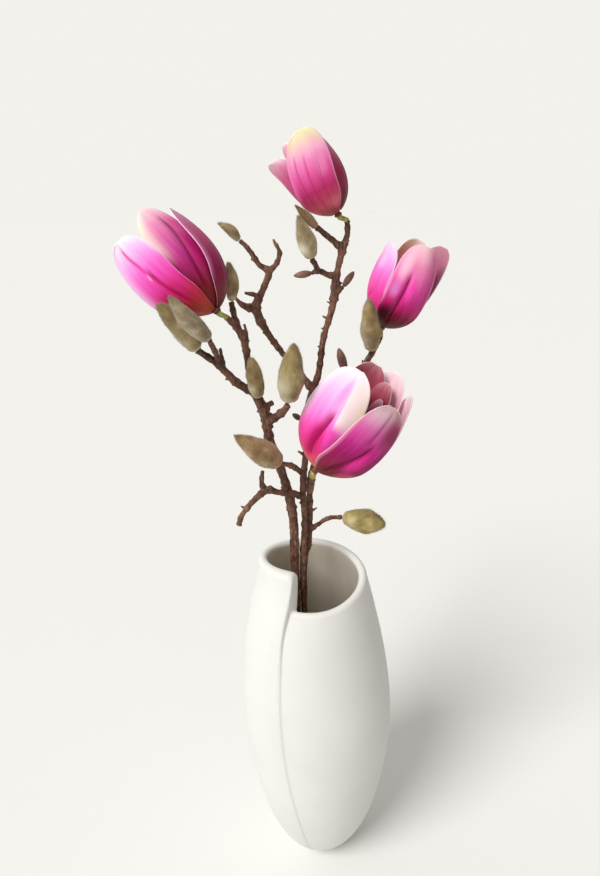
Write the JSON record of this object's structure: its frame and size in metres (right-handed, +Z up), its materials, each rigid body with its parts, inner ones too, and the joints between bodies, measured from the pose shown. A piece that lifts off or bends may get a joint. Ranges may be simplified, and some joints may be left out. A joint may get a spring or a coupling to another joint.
{
  "type": "magnolia branch arrangement in a vase",
  "caption": "Bare magnolia branches with pink tulip-shaped blossoms and furry buds, standing in a tall white ceramic vase whose rim climbs in a spiral to a notch.",
  "frame": {"origin": "centre of the vase's foot, on the surface it stands on", "axes": "+Z up, -Y towards the side that the rim's notch and most of the blossom face, +X to the right of that side"},
  "size_m": [0.2085, 0.1264, 0.5897],
  "materials": {
    "vase_ceramic": "matt, unglazed outside",
    "bark": "rough, knobbly",
    "green_stalk": "satin",
    "flower_heart": "rough",
    "petal": "soft satin, veined",
    "bud_felt": "furry",
    "leaf_bud": "rough"
  },
  "bodies": {
    "root": {"branch_left": "bark", "branch_middle": "bark", "branch_right": "bark", "bud_arm": "bud_felt", "bud_behind_flower": "bud_felt", "bud_beside_right_flower": "bud_felt", "bud_broad": "bud_felt", "bud_far_left": "bud_felt", "bud_fork_large": "bud_felt", "bud_fork_small": "bud_felt", "bud_leaning": "bud_felt", "bud_left_front": "bud_felt", "bud_low_right": "bud_felt", "bud_pale": "bud_felt", "flower_front_petal_1": "petal", "flower_front_petal_2": "petal", "flower_front_petal_3": "petal", "flower_front_petal_4": "petal", "flower_front_petal_5": "petal", "flower_front_petal_6": "petal", "flower_front_petal_7": "petal", "flower_front_petal_8": "petal", "flower_front_receptacle": "flower_heart", "flower_front_stalk": "green_stalk", "flower_left_petal_1": "petal", "flower_left_petal_2": "petal", "flower_left_petal_3": "petal", "flower_left_petal_4": "petal", "flower_left_petal_5": "petal", "flower_left_petal_6": "petal", "flower_left_receptacle": "flower_heart", "flower_left_stalk": "green_stalk", "flower_right_petal_1": "petal", "flower_right_petal_2": "petal", "flower_right_petal_3": "petal", "flower_right_petal_4": "petal", "flower_right_petal_5": "petal", "flower_right_petal_6": "petal", "flower_right_receptacle": "flower_heart", "flower_right_stalk": "green_stalk", "flower_top_petal_1": "petal", "flower_top_petal_2": "petal", "flower_top_petal_3": "petal", "flower_top_petal_4": "petal", "flower_top_petal_5": "petal", "flower_top_petal_6": "petal", "flower_top_receptacle": "flower_heart", "flower_top_stalk": "green_stalk", "leaf_bud_behind": "leaf_bud", "leaf_bud_beside_flower": "leaf_bud", "leaf_bud_top_left": "leaf_bud", "leaf_bud_top_right": "leaf_bud", "vase": "vase_ceramic"}
  },
  "joints": []
}
